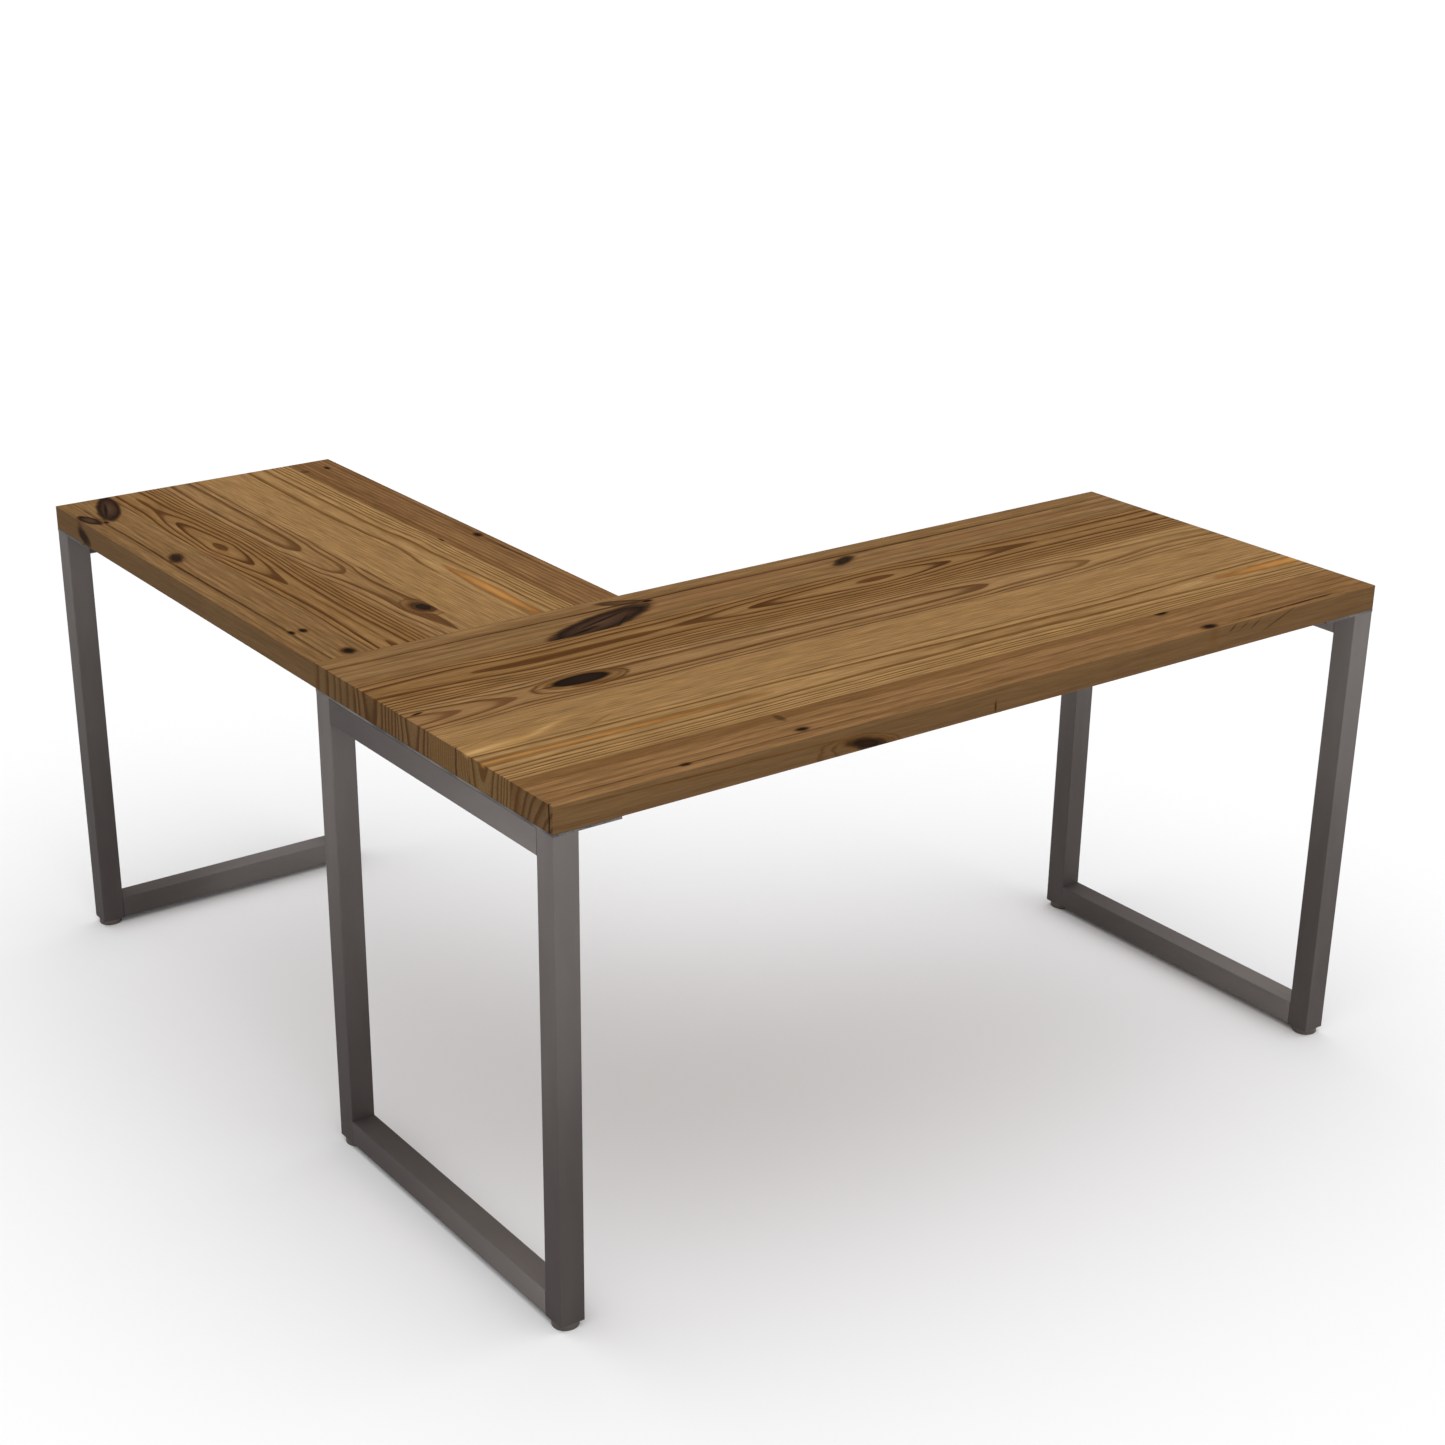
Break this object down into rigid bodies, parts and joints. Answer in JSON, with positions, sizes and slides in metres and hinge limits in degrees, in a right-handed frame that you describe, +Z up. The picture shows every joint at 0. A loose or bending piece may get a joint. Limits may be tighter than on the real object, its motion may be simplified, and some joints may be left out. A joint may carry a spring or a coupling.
{
  "type": "corner desk",
  "caption": "L-shaped corner desk with thick edge-glued wood tops on closed rectangular frames of square steel tube and screw-in levelling feet.",
  "frame": {"origin": "on the floor, under the centre of the desk's overall box", "axes": "+X along the main top's long side, from the end that carries the return to the free end; +Y from the main top towards the far end of the return; +Z up. -Y is the main top's long outer edge; the sitter's corner is on the +X +Y side of the L."},
  "size_m": [1.4732, 1.524, 0.762],
  "materials": {
    "oiled_reclaimed_pine": "oiled, satin, strong dark latewood lines and dark knots",
    "brushed_steel_tube": "raw dark steel, fine brushing along the tube, clear coat",
    "flat_steel_plate": "raw dark flat bar, clear coat",
    "turned_steel_pad": "turned, dark satin",
    "zinc_plated_stud": "zinc plated, rolled thread",
    "black_oxide_screw": "black oxide, satin",
    "brass_insert": "machined",
    "black_nylon_plug": "moulded, matt"
  },
  "bodies": {
    "desk": {"joining_plate_1": "flat_steel_plate", "joining_plate_2": "flat_steel_plate", "joining_plate_inserts": "brass_insert", "joining_plate_screws": "black_oxide_screw", "left_back_leg": "brushed_steel_tube", "left_back_leg_plug": "black_nylon_plug", "left_frame_bottom_rail": "brushed_steel_tube", "left_frame_inserts": "brass_insert", "left_frame_mounting_plate": "flat_steel_plate", "left_frame_screws": "black_oxide_screw", "left_frame_top_rail": "brushed_steel_tube", "left_front_leg": "brushed_steel_tube", "left_front_leg_plug": "black_nylon_plug", "main_board_1": "oiled_reclaimed_pine", "main_board_2": "oiled_reclaimed_pine", "main_board_3": "oiled_reclaimed_pine", "main_board_4": "oiled_reclaimed_pine", "main_board_5": "oiled_reclaimed_pine", "main_board_6": "oiled_reclaimed_pine", "return_board_1": "oiled_reclaimed_pine", "return_board_2": "oiled_reclaimed_pine", "return_board_3": "oiled_reclaimed_pine", "return_board_4": "oiled_reclaimed_pine", "return_board_5": "oiled_reclaimed_pine", "return_board_6": "oiled_reclaimed_pine", "return_frame_bottom_rail": "brushed_steel_tube", "return_frame_inserts": "brass_insert", "return_frame_mounting_plate": "flat_steel_plate", "return_frame_screws": "black_oxide_screw", "return_frame_top_rail": "brushed_steel_tube", "return_left_leg": "brushed_steel_tube", "return_left_leg_plug": "black_nylon_plug", "return_right_leg": "brushed_steel_tube", "return_right_leg_plug": "black_nylon_plug", "right_back_leg": "brushed_steel_tube", "right_back_leg_plug": "black_nylon_plug", "right_frame_bottom_rail": "brushed_steel_tube", "right_frame_inserts": "brass_insert", "right_frame_mounting_plate": "flat_steel_plate", "right_frame_screws": "black_oxide_screw", "right_frame_top_rail": "brushed_steel_tube", "right_front_leg": "brushed_steel_tube", "right_front_leg_plug": "black_nylon_plug"},
    "left_front_foot": {"left_front_foot_pad": "turned_steel_pad", "left_front_foot_stud": "zinc_plated_stud"},
    "left_back_foot": {"left_back_foot_pad": "turned_steel_pad", "left_back_foot_stud": "zinc_plated_stud"},
    "right_front_foot": {"right_front_foot_pad": "turned_steel_pad", "right_front_foot_stud": "zinc_plated_stud"},
    "right_back_foot": {"right_back_foot_pad": "turned_steel_pad", "right_back_foot_stud": "zinc_plated_stud"},
    "return_left_foot": {"return_left_foot_pad": "turned_steel_pad", "return_left_foot_stud": "zinc_plated_stud"},
    "return_right_foot": {"return_right_foot_pad": "turned_steel_pad", "return_right_foot_stud": "zinc_plated_stud"}
  },
  "joints": [
    {"name": "left_front_foot_screw", "type": "slide", "parent": "desk", "child": "left_front_foot", "axis": [0, 0, -1], "range_m": [0, 0.0127]},
    {"name": "left_back_foot_screw", "type": "slide", "parent": "desk", "child": "left_back_foot", "axis": [0, 0, -1], "range_m": [0, 0.0127]},
    {"name": "right_front_foot_screw", "type": "slide", "parent": "desk", "child": "right_front_foot", "axis": [0, 0, -1], "range_m": [0, 0.0127]},
    {"name": "right_back_foot_screw", "type": "slide", "parent": "desk", "child": "right_back_foot", "axis": [0, 0, -1], "range_m": [0, 0.0127]},
    {"name": "return_left_foot_screw", "type": "slide", "parent": "desk", "child": "return_left_foot", "axis": [0, 0, -1], "range_m": [0, 0.0127]},
    {"name": "return_right_foot_screw", "type": "slide", "parent": "desk", "child": "return_right_foot", "axis": [0, 0, -1], "range_m": [0, 0.0127]}
  ]
}
